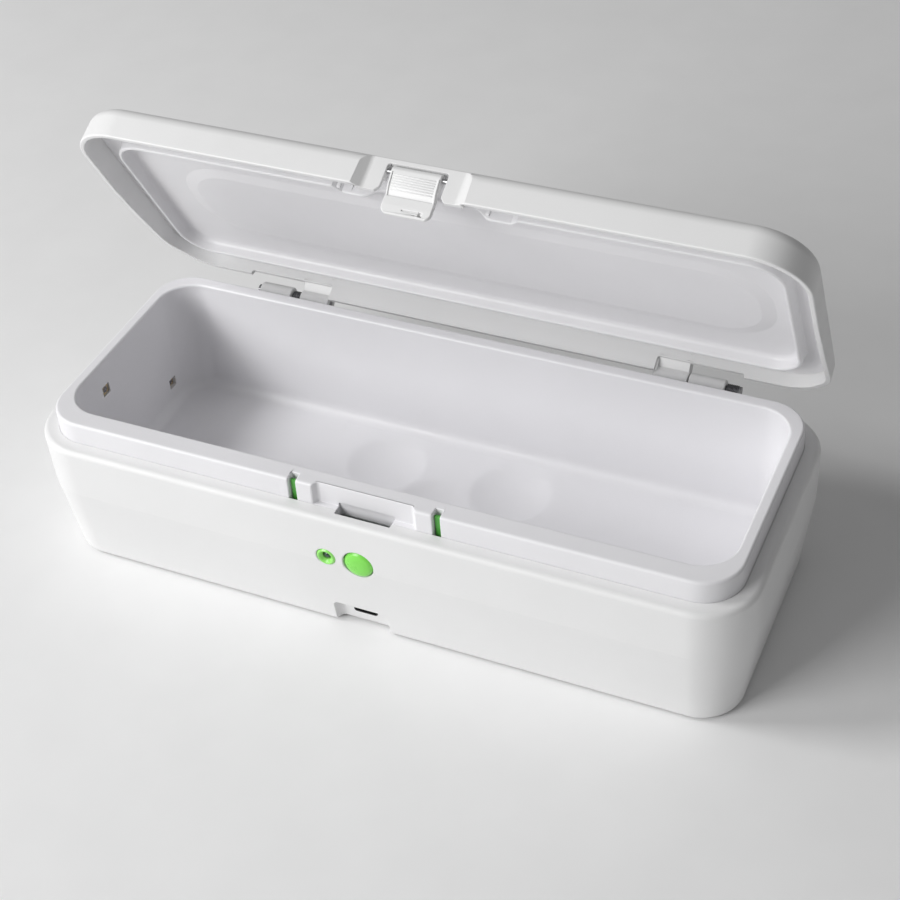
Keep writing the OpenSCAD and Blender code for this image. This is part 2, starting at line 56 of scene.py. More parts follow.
# ---------------------------------------------------------------- sizes (mm)
BL, BD, CR = 240.0, 95.0, 18.0
HX, HY = BL / 2, BD / 2
BASE_Z, KINK_Z, SHOULDER, RIM = 0.8, 30.0, 48.6, 56.2
BASE_IN, KINK_IN = 4.4, 0.45
RIM_IN = 5.2
TUB_L, TUB_D, TUB_R, TUB_CY = 221.6, 72.8, 11.6, 1.1
FLOOR = 12.9
AX_Y, AX_Z = HY + 2.8, SHOULDER + 0.7
SKIRT, TOP = SHOULDER + 0.5, 61.2
OPEN = math.radians(62)
BTN_X, RING_X, CTL_Z = -1.5, -12.5, 32.0
PORT_X, PORT_Z = -4.5, 5.4
SLOT_X = 24.0
LP_Y, LP_Z = -HY + 3.6, TOP - 4.5
LED_YZ = ((-12.5, 45.3), (22.8, 21.6))
LID_L, BACK_UP = BL - 2.4, 3.6


# ---------------------------------------------------------------- mesh helpers
def clean(me, smooth=38.0):
    bm = bmesh.new()
    bm.from_mesh(me)
    bmesh.ops.remove_doubles(bm, verts=bm.verts, dist=1e-6)
    bmesh.ops.dissolve_degenerate(bm, edges=bm.edges, dist=1e-7)
    bmesh.ops.recalc_face_normals(bm, faces=bm.faces)
    bm.to_mesh(me)
    bm.free()
    for p in me.polygons:
        p.use_smooth = True
    me.set_sharp_from_angle(angle=math.radians(smooth))


def make(name, verts, faces):
    me = bpy.data.meshes.new(name)
    me.from_pydata([(x * MM, y * MM, z * MM) for x, y, z in verts], [], faces)
    me.validate()
    o = bpy.data.objects.new(name, me)
    scene.collection.objects.link(o)
    clean(me)
    return o


def rr(l, d, r, z, cy=0.0, cx=0.0, nc=14, mx=1, my=1):
    """One closed ring of points on a rounded rectangle."""
    hx, hy = l / 2, d / 2
    r = max(min(r, hx - 0.01, hy - 0.01), 0.05)
    corner = ((1, 1), (-1, 1), (-1, -1), (1, -1))
    out = []
    for q in range(4):
        sx, sy = corner[q]
        px, py = cx + sx * (hx - r), cy + sy * (hy - r)
        for i in range(nc + 1):
            a = math.radians(90 * q + 90 * i / nc)
            out.append((px + r * math.cos(a), py + r * math.sin(a), z))
        m = mx if q % 2 == 0 else my
        tx, ty = corner[(q + 1) % 4]
        a = math.radians(90 * (q + 1))
        ex = cx + tx * (hx - r) + r * math.cos(a)
        ey = cy + ty * (hy - r) + r * math.sin(a)
        x0, y0, _ = out[-1]
        for k in range(1, m):
            t = k / m
            out.append((x0 + (ex - x0) * t, y0 + (ey - y0) * t, z))
    return out


def loft(rings, cap0=False, cap1=False, closed=False):
    n = len(rings[0])
    verts = [p for r in rings for p in r]
    R = len(rings)
    faces = []
    for i in range(R if closed else R - 1):
        a, b = i * n, ((i + 1) % R) * n
        for j in range(n):
            k = (j + 1) % n
            faces.append((a + j, a + k, b + k, b + j))
    if cap0:
        faces.append(tuple(reversed(range(n))))
    if cap1:
        faces.append(tuple(range((R - 1) * n, R * n)))
    return verts, faces


def fil(pts, seg=6, closed=False):
    """Rounds the corners of a polyline of (a, b, radius)."""
    out = []
    n = len(pts)
    for i in range(n):
        p = pts[i]
        rad = p[2] if len(p) > 2 else 0
        if rad <= 0 or (not closed and i in (0, n - 1)):
            out.append((p[0], p[1]))
            continue
        a, c = pts[i - 1], pts[(i + 1) % n]
        v = Vector((p[0], p[1]))
        d0, d1 = Vector((a[0], a[1])) - v, Vector((c[0], c[1])) - v
        l0, l1 = d0.length, d1.length
        d0.normalize()
        d1.normalize()
        ang = d0.angle(d1)
        if ang > math.radians(179.5):
            out.append((p[0], p[1]))
            continue
        t = min(rad / math.tan(ang / 2), 0.49 * l0, 0.49 * l1)
        rad = t * math.tan(ang / 2)
        mid = v + (d0 + d1).normalized() * (rad / math.sin(ang / 2))
        s, e = v + d0 * t - mid, v + d1 * t - mid
        total = s.angle(e)
        sign = 1 if s.x * e.y - s.y * e.x > 0 else -1
        k = max(2, int(math.ceil(seg * total / (math.pi / 2))))
        for j in range(k + 1):
            w = sign * total * j / k
            out.append((mid.x + s.x * math.cos(w) - s.y * math.sin(w), mid.y + s.x * math.sin(w) + s.y * math.cos(w)))
    return out


def revolve(prof, axis, at, n=64):
    """Closed surface of revolution. prof = [(radius, height)], axis 'y' or 'z'."""
    verts, faces, rings = [], [], []
    for r, h in prof:
        if r < 1e-4:
            rings.append([len(verts)])
            verts.append((0, 0, h))
        else:
            rings.append(list(range(len(verts), len(verts) + n)))
            verts += [(r * math.cos(2 * math.pi * i / n), r * math.sin(2 * math.pi * i / n), h) for i in range(n)]
    for a, b in zip(rings, rings[1:]):
        for i in range(n):
            j = (i + 1) % n
            f = [a[i % len(a)], a[j % len(a)], b[j % len(b)], b[i % len(b)]]
            g = []
            for v in f:
                if v not in g:
                    g.append(v)
            if len(g) > 2:
                faces.append(tuple(g))
    if axis == "y":
        verts = [(x, z, -y) for x, y, z in verts]
    return [(x + at[0], y + at[1], z + at[2]) for x, y, z in verts], faces


def prism(prof, x0, x1, bev=0.0, seg=3):
    """Profile of (y, z) points extruded along X, its end edges rounded by bev."""
    n = len(prof)
    cy = sum(p[0] for p in prof) / n
    cz = sum(p[1] for p in prof) / n
    inset = []
    if bev > 0:
        for i in range(n):
            a, p, c = Vector(prof[i - 1]), Vector(prof[i]), Vector(prof[(i + 1) % n])
            e0, e1 = (p - a), (c - p)
            if e0.length < 1e-6 or e1.length < 1e-6:
                inset.append(Vector((0, 0)))
                continue
            e0.normalize()
            e1.normalize()
            n0, n1 = Vector((-e0.y, e0.x)), Vector((-e1.y, e1.x))
            m = n0 + n1
            m = m.normalized() if m.length > 1e-6 else n0
            m /= max(0.5, m.dot(n0))
            inset.append(m)
        area = sum(prof[i][0] * prof[(i + 1) % n][1] - prof[(i + 1) % n][0] * prof[i][1] for i in range(n))
        if area < 0:
            inset = [-v for v in inset]
    steps = []
    if bev > 0:
        for i in range(seg + 1):
            t = math.pi / 2 * i / seg
            steps.append((x0 + bev * (1 - math.sin(t)), bev * (1 - math.cos(t))))
        steps = list(reversed([(x, d) for x, d in steps]))
        steps = [(x0 + bev * (1 - math.cos(math.pi / 2 * i / seg)), bev * (1 - math.sin(math.pi / 2 * i / seg))) for i in range(seg + 1)]
        steps += [(x0 + x1 - x, d) for x, d in reversed(steps)]
    else:
        steps = [(x0, 0), (x1, 0)]
    rings = []
    for x, d in steps:
        if d > 0:
            rings.append([(x, p[0] + v.x * d, p[1] + v.y * d) for p, v in zip(prof, inset)])
        else:
            rings.append([(x, p[0], p[1]) for p in prof])
    return loft(rings, cap0=True, cap1=True)


def block(lo, hi, r=0.3, seg=3, nc=4):
    """Box with every edge rounded."""
    l, d = hi[0] - lo[0], hi[1] - lo[1]
    cx, cy = (lo[0] + hi[0]) / 2, (lo[1] + hi[1]) / 2
    rings = []
    for i in range(seg + 1):
        t = math.pi / 2 * i / seg
        o = r * (1 - math.sin(t))
        rings.append(rr(l - 2 * o, d - 2 * o, max(r - o, 0.02) + 0.01, lo[2] + r * (1 - math.cos(t)), cy, cx, nc))
    for i in range(seg + 1):
        t = math.pi / 2 * i / seg
        o = r * (1 - math.cos(t))
        rings.append(rr(l - 2 * o, d - 2 * o, max(r - o, 0.02) + 0.01, hi[2] - r + r * math.sin(t), cy, cx, nc))
    return loft(rings, True, True)


def tube(path, r, n=10, cap=True):
    """Round wire along a list of points."""
    pts = [Vector(p) for p in path]
    rings = []
    up = None
    for i, p in enumerate(pts):
        t = (pts[min(i + 1, len(pts) - 1)] - pts[max(i - 1, 0)]).normalized()
        if up is None:
            up = Vector((0, 0, 1)) if abs(t.z) < 0.9 else Vector((1, 0, 0))
        side = t.cross(up).normalized()
        up = side.cross(t).normalized()
        rings.append([tuple(p + side * (r * math.cos(2 * math.pi * k / n)) + up * (r * math.sin(2 * math.pi * k / n))) for k in range(n)])
    return loft(rings, cap, cap)


def join(parts):
    verts, faces = [], []
    for v, f in parts:
        k = len(verts)
        verts += v
        faces += [tuple(i + k for i in q) for q in f]
    return verts, faces


def boolean(o, cutters, op="DIFFERENCE"):
    for c in cutters:
        m = o.modifiers.new("cut", "BOOLEAN")
        m.operation = op
        m.solver = "EXACT"
        m.object = c
    bake(o)
    for c in cutters:
        bpy.data.objects.remove(c, do_unlink=True)


def bake(o):
    dg = bpy.context.evaluated_depsgraph_get()
    dg.update()
    me = bpy.data.meshes.new_from_object(o.evaluated_get(dg))
    o.modifiers.clear()
    old = o.data
    o.data = me
    bpy.data.meshes.remove(old)


def edges(o, width=0.35, seg=2, angle=40.0, smooth=32.0, keep=None):
    """Softens the hard edges that the cuts left, all or those that keep() picks."""
    bm = bmesh.new()
    bm.from_mesh(o.data)
    bmesh.ops.remove_doubles(bm, verts=bm.verts, dist=2e-6)
    if keep:
        w = bm.edges.layers.float.new("bevel_weight_edge")
        for e in bm.edges:
            mid = (e.verts[0].co + e.verts[1].co) / 2
            if len(e.link_faces) == 2 and e.calc_face_angle() > math.radians(angle) and keep(mid):
                e[w] = 1.0
    bm.to_mesh(o.data)
    bm.free()
    m = o.modifiers.new("soft", "BEVEL")
    m.width = width * MM
    m.segments = seg
    m.limit_method = "WEIGHT" if keep else "ANGLE"
    m.angle_limit = math.radians(angle)
    m.use_clamp_overlap = False
    m.miter_outer = "MITER_ARC"
    bake(o)
    for p in o.data.polygons:
        p.use_smooth = True
    o.data.set_sharp_from_angle(angle=math.radians(smooth))
    w = o.modifiers.new("normals", "WEIGHTED_NORMAL")
    w.keep_sharp = True
    w.weight = 60


def weighted(o):
    w = o.modifiers.new("normals", "WEIGHTED_NORMAL")
    w.keep_sharp = True
    w.weight = 60


def lid_pose(o):
    m = Matrix.Translation((0, AX_Y * MM, AX_Z * MM)) @ Matrix.Rotation(-OPEN, 4, "X") @ Matrix.Translation((0, -AX_Y * MM, -AX_Z * MM))
    o.data.transform(m)


def place(o, body, mat, slot, *nodes):
    o.data.materials.clear()
    o.data.materials.append(mat)
    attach(o, body)
    if nodes:
        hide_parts(*nodes)
    return o


# ---------------------------------------------------------------- materials
def nodes_of(mat):
    mat.use_nodes = True
    nt = mat.node_tree
    nt.nodes.clear()
    out = nt.nodes.new("ShaderNodeOutputMaterial")
    bsdf = nt.nodes.new("ShaderNodeBsdfPrincipled")
    nt.links.new(bsdf.outputs["BSDF"], out.inputs["Surface"])
    return nt, bsdf


def noise(nt, scale, detail=2.0, rough=0.5):
    tc = nt.nodes.new("ShaderNodeTexCoord")
    n = nt.nodes.new("ShaderNodeTexNoise")
    n.inputs["Scale"].default_value = scale
    n.inputs["Detail"].default_value = detail
    n.inputs["Roughness"].default_value = rough
    nt.links.new(tc.outputs["Object"], n.inputs["Vector"])
    return n


def ramp(nt, src, lo, hi, c0, c1):
    r = nt.nodes.new("ShaderNodeValToRGB")
    r.color_ramp.elements[0].position = lo
    r.color_ramp.elements[1].position = hi
    r.color_ramp.elements[0].color = (*c0, 1)
    r.color_ramp.elements[1].color = (*c1, 1)
    nt.links.new(src, r.inputs["Fac"])
    return r.outputs["Color"]


def grey(v):
    return (v, v, v)


def plastic(name, col, var=0.02, rough=0.42, rvar=0.08, grain=0.006, gscale=2600.0, broad=18.0, spec=0.5, sss=0.0, coat=0.0, painted_crease_shade=0.0):
    """Moulded plastic: broad colour drift, fine speckle, grain in the bump and in the gloss, and optional painted shade
    that darkens the creases and hollows.
    """
    mat = bpy.data.materials.new(name)
    nt, b = nodes_of(mat)
    big = noise(nt, broad, 3.0, 0.55)
    fine = noise(nt, gscale, 2.0, 0.6)
    lo = tuple(max(c * (1 - var), 0) for c in col)
    hi = tuple(min(c * (1 + var * 0.6), 1) for c in col)
    c1 = ramp(nt, big.outputs["Fac"], 0.35, 0.68, lo, hi)
    mix = nt.nodes.new("ShaderNodeMix")
    mix.data_type = "RGBA"
    mix.blend_type = "MULTIPLY"
    mix.inputs["Factor"].default_value = 1.0
    nt.links.new(c1, mix.inputs["A"])
    nt.links.new(ramp(nt, fine.outputs["Fac"], 0.3, 0.7, grey(1 - 0.6 * var), grey(1.0)), mix.inputs["B"])
    last = mix.outputs["Result"]
    # painted shade: concave creases and corners are darkened by pointiness
    if painted_crease_shade > 0:
        geo = nt.nodes.new("ShaderNodeNewGeometry")
        crease_shade_mix = nt.nodes.new("ShaderNodeMix")
        crease_shade_mix.data_type = "RGBA"
        crease_shade_mix.blend_type = "MULTIPLY"
        crease_shade_mix.inputs["Factor"].default_value = 1.0
        nt.links.new(last, crease_shade_mix.inputs["A"])
        nt.links.new(ramp(nt, geo.outputs["Pointiness"], 0.42, 0.5, grey(1 - painted_crease_shade), grey(1.0)), crease_shade_mix.inputs["B"])
        last = crease_shade_mix.outputs["Result"]
    nt.links.new(last, b.inputs["Base Color"])
    rbig = noise(nt, broad * 6, 4.0, 0.6)
    nt.links.new(ramp(nt, rbig.outputs["Fac"], 0.3, 0.72, grey(rough - rvar), grey(rough + rvar)), b.inputs["Roughness"])
    bump = nt.nodes.new("ShaderNodeBump")
    bump.inputs["Strength"].default_value = 1.0
    bump.inputs["Distance"].default_value = grain * MM
    nt.links.new(fine.outputs["Fac"], bump.inputs["Height"])
    nt.links.new(bump.outputs["Normal"], b.inputs["Normal"])
    b.inputs["Specular IOR Level"].default_value = spec
    if sss > 0:
        b.inputs["Subsurface Weight"].default_value = sss
        b.inputs["Subsurface Radius"].default_value = (0.0022, 0.0020, 0.0018)
        b.inputs["Subsurface Scale"].default_value = 1.0
    if coat > 0:
        b.inputs["Coat Weight"].default_value = coat
        b.inputs["Coat Roughness"].default_value = 0.15
    return mat


def metal(name, col, rough=0.32, rvar=0.1, scale=900.0, stretch=(1.0, 1.0, 1.0), grain=0.01):
    """Drawn or turned metal, with fine lines along its working direction."""
    mat = bpy.data.materials.new(name)
    nt, b = nodes_of(mat)
    tc = nt.nodes.new("ShaderNodeTexCoord")
    mp = nt.nodes.new("ShaderNodeMapping")
    mp.inputs["Scale"].default_value = stretch
    nt.links.new(tc.outputs["Object"], mp.inputs["Vector"])
    n = nt.nodes.new("ShaderNodeTexNoise")
    n.inputs["Scale"].default_value = scale
    n.inputs["Detail"].default_value = 4.0
    nt.links.new(mp.outputs["Vector"], n.inputs["Vector"])
    nt.links.new(ramp(nt, n.outputs["Fac"], 0.3, 0.7, tuple(c * 0.72 for c in col), col), b.inputs["Base Color"])
    nt.links.new(ramp(nt, n.outputs["Fac"], 0.3, 0.7, grey(rough + rvar), grey(rough - rvar)), b.inputs["Roughness"])
    bump = nt.nodes.new("ShaderNodeBump")
    bump.inputs["Distance"].default_value = grain * MM
    nt.links.new(n.outputs["Fac"], bump.inputs["Height"])
    nt.links.new(bump.outputs["Normal"], b.inputs["Normal"])
    b.inputs["Metallic"].default_value = 1.0
    return mat


def cells(name, col0, col1, scale, rough, grain=0.02, spec=0.5):
    """Solder mask or ceramic: patches from a Voronoi pattern over fine noise."""
    mat = bpy.data.materials.new(name)
    nt, b = nodes_of(mat)
    tc = nt.nodes.new("ShaderNodeTexCoord")
    v = nt.nodes.new("ShaderNodeTexVoronoi")
    v.feature = "F1"
    v.distance = "CHEBYCHEV"
    v.inputs["Scale"].default_value = scale
    nt.links.new(tc.outputs["Object"], v.inputs["Vector"])
    nt.links.new(ramp(nt, v.outputs["Distance"], 0.18, 0.42, col0, col1), b.inputs["Base Color"])
    f = noise(nt, scale * 3, 3.0)
    nt.links.new(ramp(nt, f.outputs["Fac"], 0.3, 0.7, grey(rough - 0.08), grey(rough + 0.1)), b.inputs["Roughness"])
    bump = nt.nodes.new("ShaderNodeBump")
    bump.inputs["Distance"].default_value = grain * MM
    nt.links.new(v.outputs["Distance"], bump.inputs["Height"])
    nt.links.new(bump.outputs["Normal"], b.inputs["Normal"])
    b.inputs["Specular IOR Level"].default_value = spec
    return mat


# the last argument of each of these sets the painted shade in creases and hollows
M_CASE = plastic("case_white", (0.83, 0.83, 0.83), rough=0.40, grain=0.010, painted_crease_shade=0.06)
M_TUB = plastic("tub_white", (0.84, 0.835, 0.855), rough=0.36, grain=0.006, painted_crease_shade=0.05)
M_COVER = plastic("cover_white", (0.72, 0.72, 0.73), rough=0.58, grain=0.03, gscale=1300.0, painted_crease_shade=0.1)
M_LID = plastic("lid_white", (0.83, 0.83, 0.83), rough=0.40, grain=0.010, painted_crease_shade=0.06)
M_LINER = plastic("liner_white", (0.835, 0.83, 0.845), rough=0.38, grain=0.005)
M_LATCH = plastic("latch_white", (0.84, 0.84, 0.84), rough=0.38, grain=0.008, painted_crease_shade=0.10)
M_BUTTON = plastic("button_green", (0.24, 0.80, 0.10), var=0.05, rough=0.30, grain=0.004, coat=0.25)
M_RING = plastic("ring_green", (0.34, 0.90, 0.18), var=0.05, rough=0.24, grain=0.003, coat=0.4)
M_SLIDER = plastic("slider_green", (0.09, 0.42, 0.06), var=0.08, rough=0.42, grain=0.01)
M_LENS = plastic("lens_dark", (0.012, 0.06, 0.03), var=0.2, rough=0.12, rvar=0.04, grain=0.002, coat=0.8)
M_RUBBER = plastic("foot_rubber", (0.05, 0.05, 0.052), var=0.25, rough=0.72, grain=0.05, gscale=1600.0)
M_BLACK = plastic("black_plastic", (0.02, 0.02, 0.021), var=0.3, rough=0.45, grain=0.02)
M_WIRE = plastic("wire_red", (0.42, 0.02, 0.015), var=0.15, rough=0.4, grain=0.01)
M_PIN = metal("pin_steel", (0.30, 0.30, 0.31), 0.34, 0.1, 1200.0, (0.1, 1, 1))
M_SPRING = metal("spring_steel", (0.20, 0.20, 0.21), 0.36, 0.12, 1500.0)
M_SCREW = metal("screw_steel", (0.55, 0.55, 0.56), 0.3, 0.1, 1100.0, (1, 1, 0.2))
M_SOCKET = metal("socket_metal", (0.62, 0.62, 0.63), 0.24, 0.06, 900.0, (1, 0.1, 1))
M_BOARD = cells("board_green", (0.02, 0.16, 0.05), (0.035, 0.24, 0.085), 420.0, 0.34)
M_BOARDW = cells("board_white", (0.62, 0.62, 0.60), (0.72, 0.72, 0.70), 380.0, 0.36)
M_LED = cells("led_ceramic", (0.30, 0.23, 0.14), (0.55, 0.46, 0.30), 620.0, 0.32, 0.05)
M_QUARTZ = plastic("led_window", (0.10, 0.09, 0.10), var=0.3, rough=0.1, rvar=0.04, grain=0.002, coat=1.0)
M_GILT = metal("led_gilt", (0.70, 0.52, 0.26), 0.3, 0.08, 2400.0)


# ---------------------------------------------------------------- case body
def case_body():
    prof = fil([
        (5.16, SHOULDER, 0.12), (0.0, SHOULDER, 1.9), (KINK_IN, KINK_Z, 0.6), (BASE_IN, BASE_Z, 1.1), (10.6, BASE_Z, 0.3),
        (10.6, 2.8, 0.2), (12.6, 2.8, 0), (12.6, 4.6, 0), (6.8, 4.6, 0), (3.0, KINK_Z, 0), (2.1, SHOULDER - 2, 0), (5.16, SHOULDER - 2, 0),
    ], seg=7, closed=True)
    rings = [rr(BL - 2 * i, BD - 2 * i, CR - i, z, nc=20, mx=48, my=10) for i, z in prof]
    o = make("case_body", *loft(rings, closed=True))
    # thick wall round the port
    wall = make("_w", *block((PORT_X - 11.2, -HY + 5.2, BASE_Z + 0.05), (PORT_X + 11.2, -HY + 10.4, PORT_Z + 6), 0.2))
    boolean(o, [wall], "UNION")
    cut = []
    # button and ring holes with a soft lip
    y0 = -HY - 2
    cut.append(make("_c", *revolve([(0, y0), (5.4, y0), (5.4, -HY + 0.23), (5.25, -HY + 0.46), (5.1, -HY + 0.81), (5.1, -HY + 8), (0, -HY + 8)], "y", (BTN_X, 0, CTL_Z), 72)))
    cut.append(make("_c", *revolve([(0, y0), (3.45, y0), (3.45, -HY + 0.26), (3.33, -HY + 0.49), (3.24, -HY + 0.76), (3.24, -HY + 8), (0, -HY + 8)], "y", (RING_X, 0, CTL_Z), 64)))
    # recess for the plug: a pocket with rounded ends, open at the bottom
    pts = fil([(PORT_X - 9.3, -HY - 3, 0), (PORT_X + 9.3, -HY - 3, 0), (PORT_X + 9.3, -HY + 6.5, 2.4), (PORT_X - 9.3, -HY + 6.5, 2.4)], seg=8, closed=True)
    low = [(x, y + 0.8 if y > -HY + 2 else y, -1.0) for x, y in pts]
    mid = [(x, y, PORT_Z + 2.6) for x, y in pts]
    top = []
    for i in range(1, 6):
        t = math.pi / 2 * i / 5
        s = 1.6 * (1 - math.cos(t))
        top.append([(PORT_X + (x - PORT_X) * (9.3 - s) / 9.3, y if y < -HY else y - s, PORT_Z + 2.6 + 1.6 * math.sin(t)) for x, y in pts])
    cut.append(make("_c", *loft([low, mid] + top, True, True)))
    # slit for the socket
    sl = [rr(8.2, 2.2, 0.9, y, nc=6) for y in (-HY + 2, -HY + 12)]
    v, f = loft(sl, True, True)
    cut.append(make("_c", [(x + PORT_X, z, y + PORT_Z) for x, y, z in v], f))
    # room for the latch hook and for the lid's knuckles
    cut.append(make("_c", *block((-9.2, -HY + 3.7, SHOULDER - 3.5), (9.2, -HY + 8, SHOULDER + 2), 0.3)))
    for x0, x1 in ((-69.0, -56.8), (60.2, 72.0)):
        v, f = revolve([(0, x0), (3.4, x0), (3.4, x1), (0, x1)], "z", (0, 0, 0), 48)
        cut.append(make("_c", [(z, AX_Y + y, AX_Z + x) for x, y, z in v], f))
    # cut all of the above out of the body
    boolean(o, cut)
    edges(o, 0.32, 2, 42)
    return o


def knuckle_prof():
    """Barrel of a base hinge with the web that carries it."""
    pts = [(HY - 1.4, SHOULDER - 10.4, 0.2), (HY - 0.35, SHOULDER - 10.4, 0.3)]
    arc = [(AX_Y + 3 * math.cos(a), AX_Z + 3 * math.sin(a), 0) for a in [math.radians(d) for d in range(-38, 200, 9)]]
    pts += arc + [(HY - 0.3, SHOULDER + 0.05, 0.1), (HY - 1.4, SHOULDER - 0.1, 0.1)]
    return fil(pts, seg=5, closed=True)


case = case_body()
place(case, "base", M_CASE, "case_plastic", "outer_case")
for side, (x0, x1) in (("left", (-84.0, -72.0)), ("right", (72.0, 84.0))):
    k = make("hinge_block_" + side, *prism(knuckle_prof(), x0, x1, 0.5, 4))
    # the pin's bore in both ends
    bore = []
    for xe in (x0, x1):
        v, f = revolve([(0, -1.2), (1.35, -1.2), (1.35, 1.2), (0, 1.2)], "z", (0, 0, 0), 32)
        bore.append(make("_c", [(z + xe, AX_Y + y, AX_Z + x) for x, y, z in v], f))
    boolean(k, bore)
    edges(k, 0.15, 2, 45)
    place(k, "base", M_CASE, "case_plastic")


rings = []
for l, d, y in ((8.15, 2.15, 6.65), (8.15, 2.15, 8.85), (7.5, 1.6, 8.85), (7.5, 1.6, 6.65)):
    rings.append([(x + PORT_X, -HY + y, z + PORT_Z) for x, z, _ in rr(l, d, 0.88 if l > 8 else 0.6, 0, nc=6)])
sleeve = make("port_sleeve", *loft(rings, closed=True))
place(sleeve, "base", M_BLACK, "black_plastic")


# ---------------------------------------------------------------- tub
def smooth(a, b, x):
    t = min(max((x - a) / (b - a), 0.0), 1.0)
    return t * t * (3 - 2 * t)


DIMPLES = ((-24.0, 17.8, 13.4, 2.0), (21.4, 17.8, 13.6, 2.0), (-1.3, 2.8, 12.8, 1.8))


def floor_z(x, y):
    h = 0.0
    for cx, cy, r, d in DIMPLES:
        q = ((x - cx) ** 2 + (y - cy) ** 2) / (r * r)
        if q < 1.35:
            v = d * (1 - q)
            k = 0.05
            v = k * math.log1p(math.exp(v / k)) if v / k < 30 else v
            h = max(h, v if q < 1.3 else v * (1.35 - q) / 0.05)
    # round moulding mark
    m = math.hypot(x + 45.2, y - 29.6)
    if m < 2.6:
        h = max(h, 0.28 * smooth(2.1, 1.6, m) * smooth(0.8, 1.3, m) if m > 0.8 else 0.0)
    return FLOOR - h


def tub_body():
    nc, mx, my = 14, 150, 44
    kw = dict(nc=nc, mx=mx, my=my)
    rings = []
    L, D, R = TUB_L + 4, TUB_D + 4, TUB_R + 2
    for i, z in ((3.2, FLOOR - 2.4), (1.0, FLOOR + 0.1), (0, SHOULDER - 4.1)):
        rings.append(rr(L - 2 * i, D - 2 * i, R - i, z, TUB_CY, **kw))
    fl = (BL - 4.8, BD - 4.8, CR - 2.4)
    rings.append(rr(*fl, SHOULDER - 4.1, **kw))
    rings.append(rr(*fl, SHOULDER - 2.1, **kw))
    ro = (BL - 2 * RIM_IN, BD - 2 * RIM_IN, CR - RIM_IN)
    for i, z in fil([(0, SHOULDER - 2.1), (0.12, RIM, 1.7), (2.2, RIM)], seg=9):
        rings.append(rr(ro[0] - 2 * i, ro[1] - 2 * i, ro[2] - i, z, **kw))
    for i, z in fil([(-1.6, RIM), (0.0, RIM, 1.25), (1.0, FLOOR + 9.0), (1.1, FLOOR, 4.2), (9.0, FLOOR)], seg=12):
        rings.append(rr(TUB_L - 2 * i, TUB_D - 2 * i, TUB_R - i, z, TUB_CY, **kw))
    i = 9.8
    while TUB_D / 2 - i > 0.45:
        rings.append(rr(TUB_L - 2 * i, TUB_D - 2 * i, max(TUB_R - i, 3.0 if TUB_D / 2 - i > 4 else 0.2), FLOOR, TUB_CY, **kw))
        i += 0.85
    n = len(rings[0])
    verts, faces = loft(rings, cap0=True)
    # close the middle of the floor along its centre line
    base = (len(rings) - 1) * n
    t0 = nc
    t1 = nc + mx
    b0 = 2 * (nc + 1) + (mx - 1) + (my - 1) + nc
    b1 = b0 + mx
    for k in range(mx):
        faces.append((base + t0 + k, base + t0 + k + 1, base + (b1 - k - 1) % n, base + (b1 - k) % n))
    faces.append(tuple(base + j for j in range(t1, b0 + 1)))
    faces.append(tuple(base + j % n for j in range(b1, n + t0 + 1)))
    verts = [(x, y, floor_z(x, y) if abs(z - FLOOR) < 1e-6 and abs(x) < 60 and abs(y) < 40 else z) for x, y, z in verts]
    o = make("tub_body", verts, faces)
    cut = []
    # recess in the rim for the latch
    plan = fil([(-19.4, -HY - 2, 0), (-17.9, -HY + 4.4, 1.6), (-15.9, -HY + 7.2, 1.4), (15.9, -HY + 7.2, 1.4), (17.9, -HY + 4.4, 1.6), (19.4, -HY - 2, 0)], seg=6)
    cut.append(make("_c", *loft([[(x, y, z) for x, y in plan] for z in (SHOULDER - 0.1, SHOULDER + 18)], True, True)))
    # well for its hook
    cut.append(make("_c", *block((-9.2, -HY - 1, SHOULDER - 8), (9.2, -HY + 7.75, SHOULDER + 1), 0.3)))
    # slots for the lid's fins: up the rim's face and over its top
    for s in (-1, 1):
        x = s * SLOT_X
        cut.append(make("_c", *block((x - 1.3, -HY - 1, SHOULDER - 4.0), (x + 1.3, -HY + 8.8, RIM + 3), 0.25)))
    # openings for the light sources
    for s in (-1, 1):
        for y, z in LED_YZ:
            h = 1.95
            lo = (HX - 20, y - h, z - h) if s > 0 else (-113.5, y - h, z - h)
            hi = (113.5, y + h, z + h) if s > 0 else (-HX + 20, y + h, z + h)
            cut.append(make("_c", *block(lo, hi, 0.15)))
    boolean(o, cut)
    edges(o, 0.38, 3, 44, keep=lambda p: abs(p.x) < 0.027 and p.y < -0.036)
    return o


tub = tub_body()
place(tub, "base", M_TUB, "tub_plastic", "tub")


# ---------------------------------------------------------------- controls
def dome(prof, x, name):
    return make(name, *revolve(prof, "y", (x, 0, CTL_Z), 96))


# prof heights are along Y, outside first
btn = fil([(0, -HY - 0.22), (2.2, -HY - 0.12, 3.0), (4.0, -HY + 0.28, 1.6), (4.8, -HY + 1.0, 0.5), (4.8, -HY + 2.7, 0.1), (6.0, -HY + 2.7, 0.1), (6.0, -HY + 3.4, 0.1), (1.5, -HY + 3.4, 0.1), (1.5, -HY + 6.1, 0.2), (0, -HY + 6.1)], seg=7)
btn = [(max(r, 0), h) for r, h in btn]
o = dome(btn, BTN_X, "button_dome")
weighted(o)
place(o, "button", M_BUTTON, "button_green", "power_button")

rp = fil([(1.4, -HY + 4.1, 0), (1.4, -HY + 1.3, 0.2), (2.15, -HY + 0.42, 0.35), (2.55, -HY + 0.2, 0.25), (3.2, -HY + 0.75, 0.5), (3.2, -HY + 4.1, 0.1)], seg=6, closed=True)
o = dome(rp + [rp[0]], RING_X, "indicator_bezel")
weighted(o)
place(o, "base", M_RING, "ring_green", "indicator_ring")

lens = fil([(0, -HY + 0.98), (0.55, -HY + 1.05, 0.6), (1.2, -HY + 1.5, 0.5), (1.25, -HY + 8.0, 0.1), (0, -HY + 8.0)], seg=6)
o = dome([(max(r, 0), h) for r, h in lens], RING_X, "status_window")
place(o, "base", M_LENS, "lens_dark", "status_lens")


